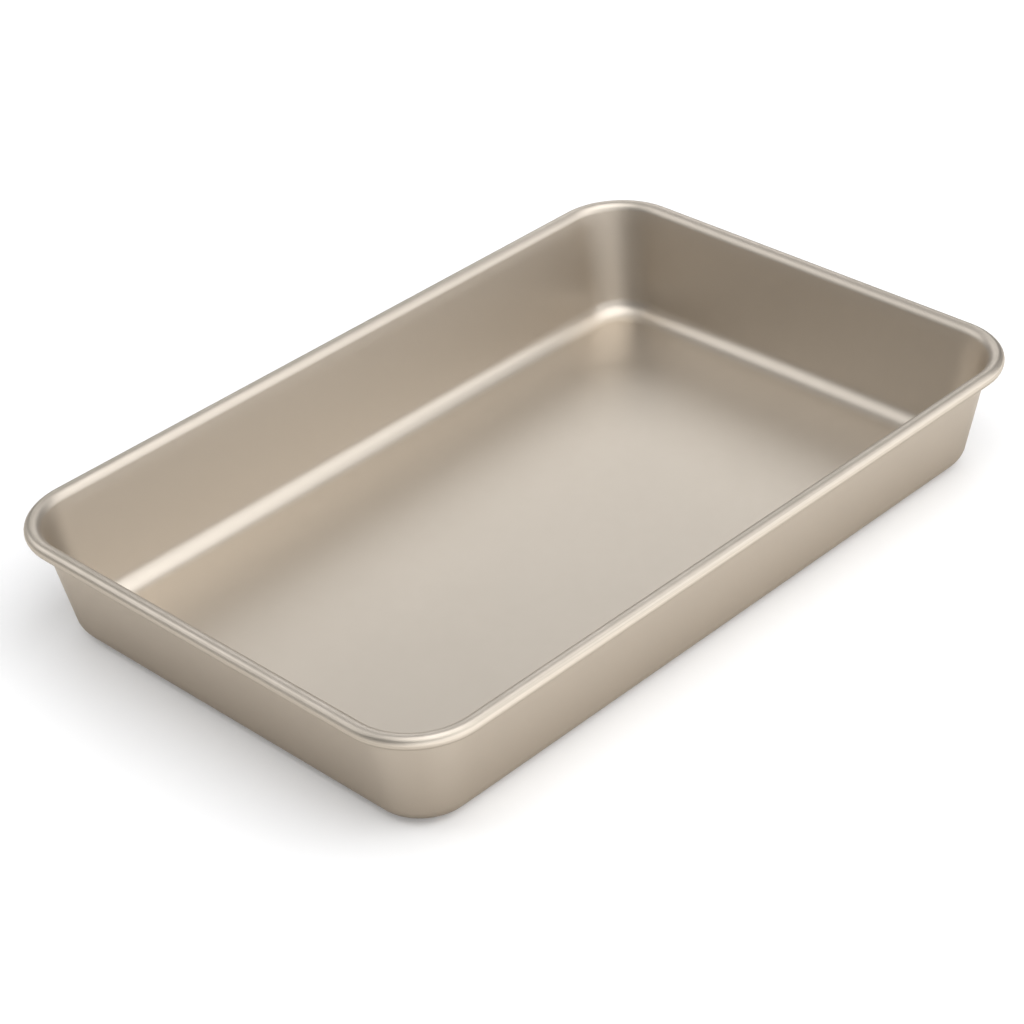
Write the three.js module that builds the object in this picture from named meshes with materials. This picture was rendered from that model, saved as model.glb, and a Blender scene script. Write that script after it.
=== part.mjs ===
// Rectangular cake pan: one drawn steel sheet whose rim is rolled over a steel wire.
// Millimetres, +Z up, with the long side along X. The origin is the middle of the underside,
// so the pan stands on z = 0.

import * as THREE from 'three';

// Driving dimensions
const openingLength = 280; // clear length between the rims, along X
const openingWidth = 179; // clear width between the rims, along Y
const panHeight = 42; // from the underside to the top of the rim
const sheetThickness = 0.6;
const wallDraftDegrees = 10.2; // outward lean of every wall
const openingCornerRadius = 20; // plan radius of the opening's corners
const baseCornerRadius = 16; // plan radius where the outer walls, run straight down, meet z = 0
const baseFilletRadius = 8; // outer radius between the base and a wall
const rimBendRadius = 3.3; // inner face of the sheet, where a wall turns outward into the rim
const wireDiameter = 3;
const wireClearance = 0.3; // between the wire and the curl around it
const lipGap = 0.4; // between the curled edge of the sheet and the wall that it turns back to
const wireEndGap = 1; // between the two butted ends of the wire

// Facets
const cornerSteps = 10;
const filletSteps = 5;
const bendSteps = 6;
const curlSteps = 16;
const wireSides = 8;
const wireStepLength = 6;

// Finishes
const coatColour = 0xbfb3a4;
const coatRoughness = 0.38;
const coatMetalness = 0.75;
const wireColour = 0x9b9c9a;
const wireRoughness = 0.45;
const wireMetalness = 0.9;

// Sizes that follow from the driving dimensions. Offsets are measured in plan from the wire's
// centreline, outward. The bend and the curl meet at the top of the rim, above that line.
const draft = THREE.MathUtils.degToRad(wallDraftDegrees);
const wireRadius = wireDiameter / 2;
const curlInside = wireRadius + wireClearance;
const curlOutside = curlInside + sheetThickness;
const curlHeight = panHeight - curlOutside;
const bendInside = rimBendRadius - sheetThickness;
const bendHeight = panHeight - rimBendRadius;
const rimHalfLength = openingLength / 2 + rimBendRadius;
const rimHalfWidth = openingWidth / 2 + rimBendRadius;
const rimCornerRadius = openingCornerRadius + rimBendRadius;
const wallTopOffset = -rimBendRadius * Math.cos(draft);
const wallFootOffset = -(bendInside + bendHeight * Math.sin(draft)) / Math.cos(draft);

// Below the rim the corners open out evenly, from the rim's radius to the base's own radius.
const cornerEase = (baseCornerRadius - rimCornerRadius - wallFootOffset) / (wallTopOffset - wallFootOffset);

function cornerRadiusAt(offset) {
  return rimCornerRadius + offset + cornerEase * Math.max(0, wallTopOffset - offset);
}

// Rounded rectangle at an offset from the wire's centreline, anticlockwise from above.
function planRing(offset) {
  const radius = cornerRadiusAt(offset);
  const centreX = rimHalfLength + offset - radius;
  const centreY = rimHalfWidth + offset - radius;
  const quarters = [[1, 1], [-1, 1], [-1, -1], [1, -1]];
  return quarters.flatMap(([signX, signY], quarter) => {
    const start = quarter * Math.PI / 2;
    const arc = new THREE.EllipseCurve(
      signX * centreX, signY * centreY, radius, radius, start, start + Math.PI / 2);
    return arc.getPoints(cornerSteps);
  });
}

// The curl turns until its edge is the lip's gap away from the wall, or until it is nearest to
// the wall where the bend is too wide for that.
function curlSweepAngle() {
  const wallDistance = bendInside - (rimBendRadius - curlOutside) * Math.sin(draft);
  const lipDistance = Math.max(-curlOutside, lipGap - wallDistance);
  return Math.PI / 2 + draft + Math.acos(lipDistance / curlOutside);
}

// Section through a wall, as points of offset and height: from the edge of the inner floor, up
// the inside, over the rim, round the curl and its lip, and down the outside to the base's edge.
function sheetSection() {
  const filletOffset = -(bendInside + baseFilletRadius + (bendHeight - baseFilletRadius) * Math.sin(draft))
    / Math.cos(draft);
  const top = Math.PI / 2;
  const curlEnd = top - curlSweepAngle();
  const fillet = (radius) => new THREE.EllipseCurve(
    filletOffset, baseFilletRadius, radius, radius, -Math.PI / 2, -draft).getPoints(filletSteps);
  const bend = (radius) => new THREE.EllipseCurve(
    0, bendHeight, radius, radius, Math.PI - draft, top, true).getPoints(bendSteps);
  const curlBeyondTop = (radius) => new THREE.EllipseCurve(
    0, curlHeight, radius, radius, top, curlEnd, true).getPoints(curlSteps).slice(1);
  return [
    ...fillet(baseFilletRadius - sheetThickness),
    ...bend(rimBendRadius),
    ...curlBeyondTop(curlOutside),
    ...curlBeyondTop(curlInside).reverse(),
    ...bend(bendInside).reverse(),
    ...fillet(baseFilletRadius).reverse(),
  ];
}

// The sheet: its section carried round the plan, closed by the flat floor above and below.
function shellGeometry() {
  const section = sheetSection();
  const rings = section.map((point) => planRing(point.x));
  const ringSize = rings[0].length;
  const positions = rings.flatMap((ring, row) => ring.flatMap((point) => [point.x, point.y, section[row].y]));
  const floorCentre = section.length * ringSize;
  const baseCentre = floorCentre + 1;
  const baseRow = section.length - 1;
  positions.push(0, 0, section[0].y, 0, 0, section[baseRow].y);
  const indices = [];
  for (let column = 0; column < ringSize; column += 1) {
    const next = (column + 1) % ringSize;
    for (let row = 0; row < baseRow; row += 1) {
      const near = row * ringSize;
      const far = near + ringSize;
      indices.push(near + column, far + column, far + next);
      indices.push(near + column, far + next, near + next);
    }
    indices.push(floorCentre, column, next);
    indices.push(baseCentre, baseRow * ringSize + next, baseRow * ringSize + column);
  }
  const geometry = new THREE.BufferGeometry();
  geometry.setAttribute('position', new THREE.Float32BufferAttribute(positions, 3));
  geometry.setIndex(indices);
  geometry.computeVertexNormals();
  return geometry;
}

// A plan outline held at one height.
class LevelCurve extends THREE.Curve {
  constructor(outline, height) {
    super();
    this.outline = outline;
    this.height = height;
  }

  getPoint(t, target = new THREE.Vector3()) {
    const point = this.outline.getPoint(t);
    return target.set(point.x, point.y, this.height);
  }
}

// The wire's centreline: once round the rim, from one side of the joint to the other. The joint
// is in the middle of the back long side.
function wireLine() {
  const right = rimHalfLength - rimCornerRadius;
  const back = rimHalfWidth - rimCornerRadius;
  const outline = new THREE.Path();
  outline.moveTo(-wireEndGap / 2, rimHalfWidth);
  outline.absarc(-right, back, rimCornerRadius, Math.PI / 2, Math.PI);
  outline.absarc(-right, -back, rimCornerRadius, Math.PI, 1.5 * Math.PI);
  outline.absarc(right, -back, rimCornerRadius, 1.5 * Math.PI, 2 * Math.PI);
  outline.absarc(right, back, rimCornerRadius, 0, Math.PI / 2);
  outline.lineTo(wireEndGap / 2, rimHalfWidth);
  return new LevelCurve(outline, curlHeight);
}

function wireGeometry() {
  const line = wireLine();
  const circle = new THREE.Shape();
  circle.absarc(0, 0, wireRadius, 0, 2 * Math.PI);
  return new THREE.ExtrudeGeometry(circle, {
    steps: Math.ceil(line.getLength() / wireStepLength),
    curveSegments: wireSides / 2, // a full circle gets two sides for each segment
    bevelEnabled: false,
    extrudePath: line,
  });
}

function namedMesh(name, geometry, color, roughness, metalness) {
  const mesh = new THREE.Mesh(geometry, new THREE.MeshStandardMaterial({ color, roughness, metalness }));
  mesh.name = name;
  return mesh;
}

const pan = new THREE.Group();
pan.add(namedMesh('pan_shell', shellGeometry(), coatColour, coatRoughness, coatMetalness));
pan.add(namedMesh('rim_wire', wireGeometry(), wireColour, wireRoughness, wireMetalness));

export default pan;
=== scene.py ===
import math

import bpy
from mathutils import Matrix, Vector


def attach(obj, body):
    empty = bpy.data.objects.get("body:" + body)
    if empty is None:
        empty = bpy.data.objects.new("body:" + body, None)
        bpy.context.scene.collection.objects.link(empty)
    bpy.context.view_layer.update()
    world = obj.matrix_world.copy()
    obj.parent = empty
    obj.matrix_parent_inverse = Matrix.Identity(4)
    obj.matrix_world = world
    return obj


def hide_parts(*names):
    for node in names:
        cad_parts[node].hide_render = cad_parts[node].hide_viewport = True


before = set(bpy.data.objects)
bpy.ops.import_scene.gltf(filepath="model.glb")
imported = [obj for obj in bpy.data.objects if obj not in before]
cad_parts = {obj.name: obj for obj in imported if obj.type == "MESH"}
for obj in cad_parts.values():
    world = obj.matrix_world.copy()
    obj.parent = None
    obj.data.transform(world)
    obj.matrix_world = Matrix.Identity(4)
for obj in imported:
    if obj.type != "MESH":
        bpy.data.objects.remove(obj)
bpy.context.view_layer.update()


# Pan shell: one sheet of carbon steel, deep drawn into a flat floor, four leaning walls and round
# corners. Its edge is rolled outward over a wire to make the rim, and a satin champagne non-stick
# coat is baked onto the whole sheet.
millimetre = 0.001
opening_length = 280 * millimetre
opening_width = 179 * millimetre
pan_height = 42 * millimetre
sheet_thickness = 0.6 * millimetre
wall_draft = math.radians(10.2)
opening_corner_radius = 20 * millimetre
base_corner_radius = 16 * millimetre
base_fillet_radius = 8 * millimetre
rim_bend_radius = 3.3 * millimetre
wire_radius = 1.5 * millimetre
wire_clearance = 0.3 * millimetre
lip_gap = 0.4 * millimetre

# Offsets are measured in plan from the wire's centreline, outward, and heights from the underside.
# The bend and the curl meet at the top of the rim, above that line.
curl_inside = wire_radius + wire_clearance
curl_outside = curl_inside + sheet_thickness
curl_height = pan_height - curl_outside
bend_inside = rim_bend_radius - sheet_thickness
bend_height = pan_height - rim_bend_radius
rim_length = opening_length + 2 * rim_bend_radius
rim_width = opening_width + 2 * rim_bend_radius
rim_corner_radius = opening_corner_radius + rim_bend_radius
wall_slope = math.sin(wall_draft)
wall_top_offset = -rim_bend_radius * math.cos(wall_draft)
wall_foot_offset = -(bend_inside + bend_height * wall_slope) / math.cos(wall_draft)
wall_spread = wall_top_offset - wall_foot_offset
corner_ease = (base_corner_radius - rim_corner_radius - wall_foot_offset) / wall_spread
fillet_inside = base_fillet_radius - sheet_thickness
fillet_rise = (bend_height - base_fillet_radius) * wall_slope
fillet_offset = -(bend_inside + base_fillet_radius + fillet_rise) / math.cos(wall_draft)
wall_distance = bend_inside - (rim_bend_radius - curl_outside) * wall_slope
curl_sweep = math.pi / 2 + wall_draft + math.acos((lip_gap - wall_distance) / curl_outside)


def new_finish(name):
    finish = bpy.data.materials.new(name)
    finish.use_nodes = True
    return finish, finish.node_tree, finish.node_tree.nodes["Principled BSDF"]


def add_node(tree, kind, **settings):
    node = tree.nodes.new(kind)
    for name, value in settings.items():
        setattr(node, name, value)
    return node


def node_math(tree, operation, *values):
    node = add_node(tree, "ShaderNodeMath", operation=operation)
    for socket, value in zip(node.inputs, values):
        if isinstance(value, (int, float)):
            socket.default_value = value
        else:
            tree.links.new(value, socket)
    return node.outputs["Value"]


def node_vector(tree, operation, *values, output="Vector"):
    node = add_node(tree, "ShaderNodeVectorMath", operation=operation)
    for socket, value in zip(node.inputs, values):
        if isinstance(value, tuple):
            socket.default_value = value
        else:
            tree.links.new(value, socket)
    return node.outputs[output]


def split_axes(tree, place):
    node = tree.nodes.new("ShaderNodeSeparateXYZ")
    tree.links.new(place, node.inputs["Vector"])
    return node.outputs


def stretch(tree, place, scale):
    # Scales each axis on its own, so that a noise is drawn out into strokes or lines.
    node = add_node(tree, "ShaderNodeMapping", vector_type="POINT")
    node.inputs["Scale"].default_value = scale
    tree.links.new(place, node.inputs["Vector"])
    return node.outputs["Vector"]


def add_noise(tree, place, scale, detail):
    node = tree.nodes.new("ShaderNodeTexNoise")
    node.inputs["Scale"].default_value = scale
    node.inputs["Detail"].default_value = detail
    tree.links.new(place, node.inputs["Vector"])
    return node.outputs["Fac"]


def spread(tree, value, limits, shares=(0, 1)):
    # Takes a value from the limits to the shares and holds it at the ends.
    node = tree.nodes.new("ShaderNodeMapRange")
    names = ("From Min", "From Max", "To Min", "To Max")
    for name, number in zip(names, limits + shares):
        node.inputs[name].default_value = number
    tree.links.new(value, node.inputs["Value"])
    return node.outputs["Result"]


def tint(tree, share, first, second):
    # Goes from the first colour to the second as the share goes from 0 to 1.
    node = add_node(tree, "ShaderNodeMix", data_type="RGBA")
    tree.links.new(share, node.inputs["Factor"])
    for name, colour in (("A", first), ("B", second)):
        if isinstance(colour, tuple):
            node.inputs[name].default_value = colour
        else:
            tree.links.new(colour, node.inputs[name])
    return node.outputs["Result"]


def add_bump(tree, shader, height, strength, depth):
    node = tree.nodes.new("ShaderNodeBump")
    node.inputs["Strength"].default_value = strength
    node.inputs["Distance"].default_value = depth
    tree.links.new(height, node.inputs["Height"])
    tree.links.new(node.outputs["Normal"], shader.inputs["Normal"])


# The coat: satin and metallic, with a fine grain and a faint cloudiness. A noise is given as its
# scale and its detail.
coat_dark = (0.571, 0.519, 0.453, 1)
coat_light = (0.600, 0.545, 0.477, 1)
cloud_noise = (22, 3)
satin_noise = (240, 4)
satin_limits = (0.3, 0.7)
satin_roughness = (0.400, 0.420)
grain_noise = (2600, 2)
grain_strength = 0.4
grain_depth = 0.02 * millimetre

coat, coat_tree, coat_shader = new_finish("satin_champagne_coat")
coat_shader.inputs["Metallic"].default_value = 1
coat_place = coat_tree.nodes.new("ShaderNodeTexCoord").outputs["Object"]
coat_height = split_axes(coat_tree, coat_place)["Z"]
coat_clouds = add_noise(coat_tree, coat_place, *cloud_noise)
coat_tone = tint(coat_tree, coat_clouds, coat_dark, coat_light)
satin = add_noise(coat_tree, coat_place, *satin_noise)
satin = spread(coat_tree, satin, satin_limits, satin_roughness)
coat_grain = add_noise(coat_tree, coat_place, *grain_noise)
add_bump(coat_tree, coat_shader, coat_grain, grain_strength, grain_depth)

# Hands and racks have polished the crest of the rim a little, in patches.
crest_polished = (0.660, 0.598, 0.530, 1)
crest_band = (pan_height - 1.2 * millimetre, pan_height)
patch_noise = (150, 5)
patch_limits = (0.38, 0.66)
patch_shares = (0.1, 0.7)
polish_gain = 0.06

crest = spread(coat_tree, coat_height, crest_band)
patches = add_noise(coat_tree, coat_place, *patch_noise)
patches = spread(coat_tree, patches, patch_limits, patch_shares)
crest_rub = node_math(coat_tree, "MULTIPLY", crest, patches)
coat_tone = tint(coat_tree, crest_rub, coat_tone, crest_polished)

# Oven racks have scuffed the underside lengthwise.
base_scuffed = (0.430, 0.400, 0.365, 1)
base_band = (0.05 * millimetre, 0.4 * millimetre)
base_shares = (1, 0)
stroke_scale = (25, 900, 1)
stroke_noise = (1, 6)
stroke_limits = (0.56, 0.74)
stroke_shares = (0, 0.6)
scuff_dulling = 0.15

base = spread(coat_tree, coat_height, base_band, base_shares)
strokes = add_noise(coat_tree, stretch(coat_tree, coat_place, stroke_scale), *stroke_noise)
strokes = spread(coat_tree, strokes, stroke_limits, stroke_shares)
base_rub = node_math(coat_tree, "MULTIPLY", base, strokes)
coat_tone = tint(coat_tree, base_rub, coat_tone, base_scuffed)

# Rolling has dulled the coat towards the rim, and has left fine level lines on the rim's top and
# outer side.
roll_line_dark = (0.430, 0.390, 0.330, 1)
roll_line_scale = (6, 6, 2600)
roll_line_noise = (1, 4)
roll_line_limits = (0.42, 0.62)
rolled_offsets = (-1.2 * millimetre, -0.4 * millimetre)
rolled_shares = (0, 0.6)
dulled_band = (pan_height - 7 * millimetre, pan_height - 4.6 * millimetre)
dulled_roughness = (0, 0.06)

corner_centre_x = rim_length / 2 - rim_corner_radius
corner_centre_y = rim_width / 2 - rim_corner_radius
beyond_centres = node_vector(coat_tree, "ABSOLUTE", coat_place)
beyond_centres = node_vector(
    coat_tree, "SUBTRACT", beyond_centres, (corner_centre_x, corner_centre_y, pan_height)
)
beyond_centres = node_vector(coat_tree, "MAXIMUM", beyond_centres, (0, 0, 0))
plan_distance = node_vector(coat_tree, "LENGTH", beyond_centres, output="Value")
rim_offset = node_math(coat_tree, "SUBTRACT", plan_distance, rim_corner_radius)
rolled = spread(coat_tree, rim_offset, rolled_offsets, rolled_shares)
roll_lines = add_noise(coat_tree, stretch(coat_tree, coat_place, roll_line_scale), *roll_line_noise)
roll_lines = spread(coat_tree, roll_lines, roll_line_limits)
rim_lines = node_math(coat_tree, "MULTIPLY", rolled, roll_lines)
coat_tone = tint(coat_tree, rim_lines, coat_tone, roll_line_dark)
coat_tree.links.new(coat_tone, coat_shader.inputs["Base Color"])

rim_dulling = spread(coat_tree, coat_height, dulled_band, dulled_roughness)
crest_gloss = node_math(coat_tree, "MULTIPLY", crest_rub, polish_gain)
base_dulling = node_math(coat_tree, "MULTIPLY", base_rub, scuff_dulling)
satin = node_math(coat_tree, "ADD", satin, rim_dulling)
satin = node_math(coat_tree, "SUBTRACT", satin, crest_gloss)
satin = node_math(coat_tree, "ADD", satin, base_dulling)
coat_tree.links.new(satin, coat_shader.inputs["Roughness"])


# The section through a wall, along the inner face of the sheet.
def section_point(offset, height):
    # Curve to Mesh lays the section's X outward and its Y downward along an upright plan.
    return Vector((offset, -height, 0))


floor_strip = 2 * millimetre
fillet_top_offset = fillet_offset + fillet_inside * math.cos(wall_draft)
fillet_top_height = base_fillet_radius - fillet_inside * wall_slope
wall_top_height = bend_height + rim_bend_radius * wall_slope

shell_sizes = {
    "Rim Length": rim_length,
    "Rim Width": rim_width,
    "Rim Corner Radius": rim_corner_radius,
    "Plan Step": 2.4 * millimetre,
    "Floor Edge": section_point(fillet_offset - floor_strip, sheet_thickness),
    "Fillet Foot": section_point(fillet_offset, sheet_thickness),
    "Fillet Centre": section_point(fillet_offset, base_fillet_radius),
    "Fillet Radius": fillet_inside,
    "Fillet Start": math.pi / 2,
    "Fillet Sweep": wall_draft - math.pi / 2,
    "Wall Foot": section_point(fillet_top_offset, fillet_top_height),
    "Wall Top": section_point(wall_top_offset, wall_top_height),
    "Bend Centre": section_point(0, bend_height),
    "Bend Radius": rim_bend_radius,
    "Bend Start": wall_draft - math.pi,
    "Bend Sweep": math.pi / 2 - wall_draft,
    "Curl Centre": section_point(0, curl_height),
    "Curl Radius": curl_outside,
    "Curl Start": -math.pi / 2,
    "Curl Sweep": curl_sweep,
    "Wall Top Offset": wall_top_offset,
    "Corner Ease": corner_ease,
    "Floor Height": sheet_thickness,
    "Coat": coat,
}
corner_points = 40
floor_strip_points = 3
fillet_points = 16
wall_points = 14
bend_points = 14
curl_points = 34
ring_tolerance = 0.1 * millimetre
weld_distance = 0.01 * millimetre
crease_angle = math.radians(50)


def add_sizes(tree, sizes):
    # Makes one named input for each size, and notes its value by the socket's identifier.
    kinds = {float: "NodeSocketFloat", Vector: "NodeSocketVector"}
    values = {}
    for name, value in sizes.items():
        kind = kinds.get(type(value), "NodeSocketMaterial")
        socket = tree.interface.new_socket(name, in_out="INPUT", socket_type=kind)
        values[socket.identifier] = value
    return tree.nodes.new("NodeGroupInput"), values


def rounded_plan(tree, sizes):
    # The wire's centreline: a rectangle with round corners, anticlockwise, from the start of the
    # back right corner.
    rectangle = add_node(tree, "GeometryNodeCurvePrimitiveQuadrilateral", mode="RECTANGLE")
    corners = add_node(tree, "GeometryNodeFilletCurve", mode="POLY")
    corners.inputs["Count"].default_value = corner_points
    tree.links.new(sizes.outputs["Rim Length"], rectangle.inputs["Width"])
    tree.links.new(sizes.outputs["Rim Width"], rectangle.inputs["Height"])
    tree.links.new(sizes.outputs["Rim Corner Radius"], corners.inputs["Radius"])
    tree.links.new(rectangle.outputs["Curve"], corners.inputs["Curve"])
    return corners.outputs["Curve"]


def even_steps(tree, sizes, curve):
    # Points along the plan at an even step, with normals that lie level and point outward.
    steps = add_node(tree, "GeometryNodeResampleCurve", mode="LENGTH")
    upright = add_node(tree, "GeometryNodeSetCurveNormal", mode="Z_UP")
    tree.links.new(curve, steps.inputs["Curve"])
    tree.links.new(sizes.outputs["Plan Step"], steps.inputs["Length"])
    tree.links.new(steps.outputs["Curve"], upright.inputs["Curve"])
    return upright.outputs["Curve"]


def section_line(tree, sizes, start, end, points):
    line = add_node(tree, "GeometryNodeCurvePrimitiveLine", mode="POINTS")
    steps = add_node(tree, "GeometryNodeResampleCurve", mode="COUNT")
    steps.inputs["Count"].default_value = points
    tree.links.new(sizes.outputs[start], line.inputs["Start"])
    tree.links.new(sizes.outputs[end], line.inputs["End"])
    tree.links.new(line.outputs["Curve"], steps.inputs["Curve"])
    return steps.outputs["Curve"]


def section_arc(tree, sizes, feature, points):
    arc = add_node(tree, "GeometryNodeCurveArc", mode="RADIUS")
    arc.inputs["Resolution"].default_value = points
    placed = tree.nodes.new("GeometryNodeTransform")
    tree.links.new(sizes.outputs[feature + " Radius"], arc.inputs["Radius"])
    tree.links.new(sizes.outputs[feature + " Start"], arc.inputs["Start Angle"])
    tree.links.new(sizes.outputs[feature + " Sweep"], arc.inputs["Sweep Angle"])
    tree.links.new(arc.outputs["Curve"], placed.inputs["Geometry"])
    tree.links.new(sizes.outputs[feature + " Centre"], placed.inputs["Translation"])
    return placed.outputs["Geometry"]


def capture(tree, geometry, *fields):
    # Keeps the value of each field on the geometry and returns the geometry and the kept values.
    node = tree.nodes.new("GeometryNodeCaptureAttribute")
    tree.links.new(geometry, node.inputs["Geometry"])
    names = ["Field %d" % number for number in range(len(fields))]
    for name, field in zip(names, fields):
        node.capture_items.new("VECTOR", name)
        tree.links.new(field, node.inputs[name])
    return node.outputs["Geometry"], [node.outputs[name] for name in names]


def join(tree, parts):
    node = tree.nodes.new("GeometryNodeJoinGeometry")
    for part in parts:
        tree.links.new(part, node.inputs["Geometry"])
    return node.outputs["Geometry"]


def lift(tree, geometry, height):
    up = tree.nodes.new("ShaderNodeCombineXYZ")
    placed = tree.nodes.new("GeometryNodeTransform")
    tree.links.new(height, up.inputs["Z"])
    tree.links.new(geometry, placed.inputs["Geometry"])
    tree.links.new(up.outputs["Vector"], placed.inputs["Translation"])
    return placed.outputs["Geometry"]


# The inner face of the sheet, carried round the plan: floor edge, fillet, wall, bend and curl.
shell_tree = bpy.data.node_groups.new("pan_shell_shape", "GeometryNodeTree")
shell_inputs, shell_values = add_sizes(shell_tree, shell_sizes)
plan = even_steps(shell_tree, shell_inputs, rounded_plan(shell_tree, shell_inputs))
plan_position = shell_tree.nodes.new("GeometryNodeInputPosition").outputs["Position"]
plan_normal = shell_tree.nodes.new("GeometryNodeInputNormal").outputs["Normal"]
plan, (kept_plan, kept_normal) = capture(shell_tree, plan, plan_position, plan_normal)
section = join(shell_tree, [
    section_line(shell_tree, shell_inputs, "Floor Edge", "Fillet Foot", floor_strip_points),
    section_arc(shell_tree, shell_inputs, "Fillet", fillet_points),
    section_line(shell_tree, shell_inputs, "Wall Foot", "Wall Top", wall_points),
    section_arc(shell_tree, shell_inputs, "Bend", bend_points),
    section_arc(shell_tree, shell_inputs, "Curl", curl_points),
])
section_position = shell_tree.nodes.new("GeometryNodeInputPosition").outputs["Position"]
section, (kept_section,) = capture(shell_tree, section, section_position)
section_offset = split_axes(shell_tree, kept_section)["X"]
sheet = shell_tree.nodes.new("GeometryNodeCurveToMesh")
shell_tree.links.new(plan, sheet.inputs["Curve"])
shell_tree.links.new(section, sheet.inputs["Profile Curve"])

# Below the rim the corners open out evenly, from the rim's radius to the base's own radius.
depth = node_math(shell_tree, "SUBTRACT", shell_inputs.outputs["Wall Top Offset"], section_offset)
depth = node_math(shell_tree, "MAXIMUM", depth, 0)
ease = node_math(shell_tree, "MULTIPLY", depth, shell_inputs.outputs["Corner Ease"])
straight = shell_tree.nodes.new("ShaderNodeCombineXYZ")
for axis, size in (("X", "Rim Length"), ("Y", "Rim Width")):
    half = node_math(shell_tree, "DIVIDE", shell_inputs.outputs[size], 2)
    half = node_math(shell_tree, "SUBTRACT", half, shell_inputs.outputs["Rim Corner Radius"])
    shell_tree.links.new(half, straight.inputs[axis])
straight.inputs["Z"].default_value = 1
along = node_vector(shell_tree, "DIVIDE", kept_plan, straight.outputs["Vector"])
along = node_vector(shell_tree, "MINIMUM", along, (1, 1, 1))
along = node_vector(shell_tree, "MAXIMUM", along, (-1, -1, -1))
opening = node_vector(shell_tree, "SUBTRACT", kept_normal, along)
opening = node_vector(shell_tree, "MULTIPLY", opening, ease)
eased = shell_tree.nodes.new("GeometryNodeSetPosition")
shell_tree.links.new(sheet.outputs["Mesh"], eased.inputs["Geometry"])
shell_tree.links.new(opening, eased.inputs["Offset"])
walls = eased.outputs["Geometry"]

# The flat floor closes the innermost ring.
floor_offset = split_axes(shell_tree, shell_inputs.outputs["Floor Edge"])["X"]
floor_limit = node_math(shell_tree, "ADD", floor_offset, ring_tolerance)
innermost = node_math(shell_tree, "LESS_THAN", section_offset, floor_limit)
floor_ring = shell_tree.nodes.new("GeometryNodeMeshToCurve")
shell_tree.links.new(walls, floor_ring.inputs["Mesh"])
shell_tree.links.new(innermost, floor_ring.inputs["Selection"])
floor_face = add_node(shell_tree, "GeometryNodeFillCurve", mode="NGONS")
shell_tree.links.new(floor_ring.outputs["Curve"], floor_face.inputs["Curve"])
floor = lift(shell_tree, floor_face.outputs["Mesh"], shell_inputs.outputs["Floor Height"])
welded = shell_tree.nodes.new("GeometryNodeMergeByDistance")
welded.inputs["Distance"].default_value = weld_distance
shell_tree.links.new(join(shell_tree, [walls, floor]), welded.inputs["Geometry"])


def finish_tree(tree, geometry, sizes, material):
    smooth = tree.nodes.new("GeometryNodeSetShadeSmooth")
    realized = tree.nodes.new("GeometryNodeRealizeInstances")
    finished = tree.nodes.new("GeometryNodeSetMaterial")
    tree.interface.new_socket("Geometry", in_out="OUTPUT", socket_type="NodeSocketGeometry")
    result = tree.nodes.new("NodeGroupOutput")
    tree.links.new(geometry, smooth.inputs["Geometry"])
    tree.links.new(smooth.outputs["Geometry"], realized.inputs["Geometry"])
    tree.links.new(realized.outputs["Geometry"], finished.inputs["Geometry"])
    tree.links.new(sizes.outputs[material], finished.inputs["Material"])
    tree.links.new(finished.outputs["Geometry"], result.inputs["Geometry"])


def plain_mesh(source):
    evaluated = source.evaluated_get(bpy.context.evaluated_depsgraph_get())
    return bpy.data.meshes.new_from_object(evaluated)


def grow(name, tree, values):
    # Runs a tree on an empty mesh and returns the result as a plain mesh object.
    carrier = bpy.data.objects.new(name + "_carrier", bpy.data.meshes.new(name + "_carrier"))
    bpy.context.scene.collection.objects.link(carrier)
    shape = carrier.modifiers.new("shape", "NODES")
    shape.node_group = tree
    for identifier, value in values.items():
        shape[identifier] = value
    piece = bpy.data.objects.new(name, plain_mesh(carrier))
    piece.data.name = name
    bpy.data.objects.remove(carrier)
    bpy.context.scene.collection.objects.link(piece)
    return piece


finish_tree(shell_tree, welded.outputs["Geometry"], shell_inputs, "Coat")
pan_shell = grow("coated_sheet", shell_tree, shell_values)

# The sheet's own thickness, laid on its outer side.
gauge = pan_shell.modifiers.new("gauge", "SOLIDIFY")
gauge.thickness = sheet_thickness
gauge.offset = -1
gauge.use_even_offset = True
gauge.use_quality_normals = True
shell_mesh = plain_mesh(pan_shell)
pan_shell.modifiers.remove(gauge)
pan_shell.data = shell_mesh
shell_mesh.set_sharp_from_angle(angle=crease_angle)
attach(pan_shell, "root")
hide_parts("pan_shell")


# Rim wire: a hoop of drawn steel wire, which stiffens the walls. The rim is rolled over it and
# holds it, and its two ends butt together in the middle of the back long side.
wire_end_gap = 1 * millimetre
wire_sides = 16
back_side_middle = math.pi / 2 * rim_corner_radius + rim_length / 2 - rim_corner_radius

steel_dark = (0.27, 0.27, 0.265, 1)
steel_light = (0.42, 0.42, 0.41, 1)
steel_roughness = (0.36, 0.54)
die_mark_noise = (700, 5)
die_mark_limits = (0, 1)
die_mark_strength = 0.3
die_mark_depth = 0.03 * millimetre

steel, steel_tree, steel_shader = new_finish("drawn_steel_wire")
steel_shader.inputs["Metallic"].default_value = 1
steel_place = steel_tree.nodes.new("ShaderNodeTexCoord").outputs["Object"]
die_marks = add_noise(steel_tree, steel_place, *die_mark_noise)
steel_tone = tint(steel_tree, die_marks, steel_dark, steel_light)
steel_gloss = spread(steel_tree, die_marks, die_mark_limits, steel_roughness)
steel_tree.links.new(steel_tone, steel_shader.inputs["Base Color"])
steel_tree.links.new(steel_gloss, steel_shader.inputs["Roughness"])
add_bump(steel_tree, steel_shader, die_marks, die_mark_strength, die_mark_depth)

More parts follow.
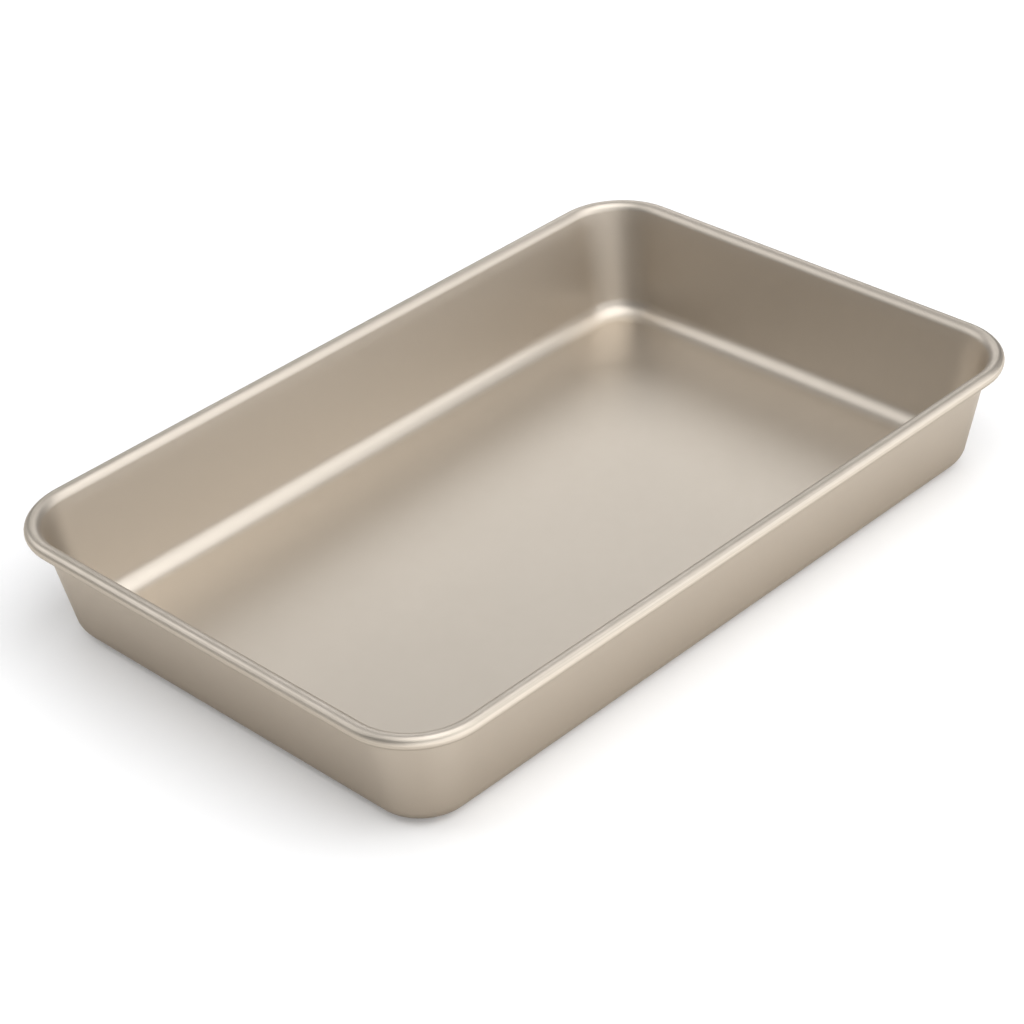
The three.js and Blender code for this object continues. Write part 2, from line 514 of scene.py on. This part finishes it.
wire_sizes = {
    "Rim Length": rim_length,
    "Rim Width": rim_width,
    "Rim Corner Radius": rim_corner_radius,
    "Plan Step": 3 * millimetre,
    "Hoop Start": back_side_middle + wire_end_gap / 2,
    "Hoop End": back_side_middle - wire_end_gap / 2,
    "Wire Radius": wire_radius,
    "Wire Height": curl_height,
    "Wire Steel": steel,
}
wire_tree = bpy.data.node_groups.new("rim_wire_shape", "GeometryNodeTree")
wire_inputs, wire_values = add_sizes(wire_tree, wire_sizes)
wire_open = add_node(wire_tree, "GeometryNodeTrimCurve", mode="LENGTH")
wire_tree.links.new(rounded_plan(wire_tree, wire_inputs), wire_open.inputs["Curve"])

# The last two sockets of Trim Curve take lengths. The start lies past the end, so the hoop runs on
# over the curve's own beginning.
start_length, end_length = list(wire_open.inputs)[-2:]
wire_tree.links.new(wire_inputs.outputs["Hoop Start"], start_length)
wire_tree.links.new(wire_inputs.outputs["Hoop End"], end_length)
wire_plan = even_steps(wire_tree, wire_inputs, wire_open.outputs["Curve"])
wire_round = add_node(wire_tree, "GeometryNodeCurvePrimitiveCircle", mode="RADIUS")
wire_round.inputs["Resolution"].default_value = wire_sides
wire_tree.links.new(wire_inputs.outputs["Wire Radius"], wire_round.inputs["Radius"])
wire_body = wire_tree.nodes.new("GeometryNodeCurveToMesh")
wire_body.inputs["Fill Caps"].default_value = True
wire_tree.links.new(wire_plan, wire_body.inputs["Curve"])
wire_tree.links.new(wire_round.outputs["Curve"], wire_body.inputs["Profile Curve"])
hoop = lift(wire_tree, wire_body.outputs["Mesh"], wire_inputs.outputs["Wire Height"])
finish_tree(wire_tree, hoop, wire_inputs, "Wire Steel")
rim_wire = grow("wire_hoop", wire_tree, wire_values)
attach(rim_wire, "root")
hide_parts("rim_wire")


# Studio floor: a plain white table top under the pan. It is faintly lit by itself, so that it
# stays white up to the pan's shadow.
studio_half = 4
studio_height = -0.1 * millimetre
white = (1, 1, 1, 1)
studio_tone = (0.895, 0.9, 0.91, 1)
studio_roughness = 0.8
studio_specular = 0.1
studio_glow = 0.11

studio_paint, _, studio_shader = new_finish("studio_white")
studio_shader.inputs["Base Color"].default_value = studio_tone
studio_shader.inputs["Roughness"].default_value = studio_roughness
studio_shader.inputs["Specular IOR Level"].default_value = studio_specular
studio_shader.inputs["Emission Color"].default_value = white
studio_shader.inputs["Emission Strength"].default_value = studio_glow


def lay_square(name, height, paint):
    corners = [
        (-studio_half, -studio_half, height),
        (studio_half, -studio_half, height),
        (studio_half, studio_half, height),
        (-studio_half, studio_half, height),
    ]
    mesh = bpy.data.meshes.new(name)
    mesh.from_pydata(corners, [], [(0, 1, 2, 3)])
    mesh.materials.append(paint)
    square = bpy.data.objects.new(name, mesh)
    bpy.context.scene.collection.objects.link(square)
    return square


studio_floor = lay_square("studio_floor", studio_height, studio_paint)


# Reflection card: a graduated card on the floor. Close to the pan it is darker, a painted shadow
# that stands in for the floor's contact shadow, and farther in front of it it glows. It shows only
# in the pan's own reflections, so that the outer walls keep their depth beside the white floor.
card_height = -0.05 * millimetre
painted_shadow_fade = (0, 60 * millimetre)
card_glow_reach = (40 * millimetre, 100 * millimetre)
card_glow_strength = (0, 0.7)
card_painted_shadow = (0.575, 0.538, 0.492, 1)
card_light = (0.970, 0.940, 0.900, 1)
card_roughness = 0.8
base_half_length = rim_length / 2 + fillet_offset
base_half_width = rim_width / 2 + fillet_offset

card_paint, card_tree, card_shader = new_finish("painted_shadow_and_glow_card")
card_shader.inputs["Roughness"].default_value = card_roughness
card_shader.inputs["Specular IOR Level"].default_value = 0
card_shader.inputs["Emission Color"].default_value = white
card_place = card_tree.nodes.new("ShaderNodeTexCoord").outputs["Object"]
card_axes = split_axes(card_tree, card_place)
beyond_ends = node_math(card_tree, "ABSOLUTE", card_axes["X"])
beyond_ends = node_math(card_tree, "SUBTRACT", beyond_ends, base_half_length)
beyond_sides = node_math(card_tree, "ABSOLUTE", card_axes["Y"])
beyond_sides = node_math(card_tree, "SUBTRACT", beyond_sides, base_half_width)
beyond_base = node_math(card_tree, "MAXIMUM", beyond_ends, beyond_sides)
# Painted shadow: the card's tone darkens towards the pan's base.
painted_shadow_share = spread(card_tree, beyond_base, painted_shadow_fade)
card_tone = tint(card_tree, painted_shadow_share, card_painted_shadow, card_light)
card_tree.links.new(card_tone, card_shader.inputs["Base Color"])
before_base = node_math(card_tree, "SUBTRACT", -base_half_width, card_axes["Y"])
card_glow = spread(card_tree, before_base, card_glow_reach, card_glow_strength)
card_tree.links.new(card_glow, card_shader.inputs["Emission Strength"])

reflection_card = lay_square("reflection_card", card_height, card_paint)
reflection_card.visible_camera = False
reflection_card.visible_diffuse = False
reflection_card.visible_shadow = False


# Studio light: a pale room and five soft boxes around and above the pan. The camera doesn't see
# the boxes.
room_strength = 0.2
softbox_distance = 2.5

room = bpy.data.worlds.new("pale_room")
room.use_nodes = True
room_shader = room.node_tree.nodes["Background"]
room_shader.inputs["Color"].default_value = white
room_shader.inputs["Strength"].default_value = room_strength
bpy.context.scene.world = room


def add_softbox(name, azimuth, elevation, wide, high, brightness):
    # Azimuth is anticlockwise from +X. Seen from the pan, a box is so many degrees wide and high.
    # Its power follows its area, so that the brightness doesn't depend on its size.
    width = 2 * softbox_distance * math.tan(math.radians(wide) / 2)
    height = 2 * softbox_distance * math.tan(math.radians(high) / 2)
    box = bpy.data.lights.new(name, "AREA")
    box.shape = "RECTANGLE"
    box.size = width
    box.size_y = height
    box.energy = brightness * math.pi * width * height
    turn = math.radians(azimuth)
    tilt = math.radians(elevation)
    level = math.cos(tilt)
    toward = Vector((math.cos(turn) * level, math.sin(turn) * level, math.sin(tilt)))
    lamp = bpy.data.objects.new(name, box)
    lamp.location = toward * softbox_distance
    lamp.rotation_euler = toward.to_track_quat("Z", "Y").to_euler()
    lamp.visible_camera = False
    bpy.context.scene.collection.objects.link(lamp)


add_softbox("key_softbox", azimuth=303, elevation=21.5, wide=51, high=41, brightness=1.55)
add_softbox("front_softbox", azimuth=249, elevation=15, wide=64, high=29, brightness=1.45)
add_softbox("overhead_softbox", azimuth=274, elevation=71, wide=62, high=51, brightness=2.35)
add_softbox("back_softbox", azimuth=46, elevation=31, wide=44, high=18, brightness=1.73)
add_softbox("left_softbox", azimuth=122, elevation=38, wide=44, high=44, brightness=1.4)


# Camera: the photograph's own viewpoint, found from the pan's outline in it. The lens and the
# sensor's width are numbers of millimetres.
view_turn = math.radians(-44.0294)
view_tilt = math.radians(33.3495)
view_roll = math.radians(-3.7708)
view_distance = 948.0932 * millimetre
view_aside = -7.5454 * millimetre
view_above = 8.5868 * millimetre
view_lens = 100.5076
view_sensor = 36
view_nearest = 10 * millimetre

view_back = Vector((
    math.sin(view_turn) * math.cos(view_tilt),
    -math.cos(view_turn) * math.cos(view_tilt),
    math.sin(view_tilt),
))
level_right = Vector((math.cos(view_turn), math.sin(view_turn), 0))
level_up = view_back.cross(level_right)
view_right = math.cos(view_roll) * level_right + math.sin(view_roll) * level_up
view_up = math.cos(view_roll) * level_up - math.sin(view_roll) * level_right
camera_place = Matrix((view_right, view_up, view_back)).transposed().to_4x4()
view_shift = view_right * view_aside + view_up * view_above
camera_place.translation = view_back * view_distance + view_shift
lens = bpy.data.cameras.new("photo_camera")
lens.sensor_width = view_sensor
lens.lens = view_lens
lens.clip_start = view_nearest
camera = bpy.data.objects.new("photo_camera", lens)
camera.matrix_world = camera_place
bpy.context.scene.collection.objects.link(camera)
bpy.context.scene.camera = camera
bpy.context.scene.view_settings.view_transform = "Standard"
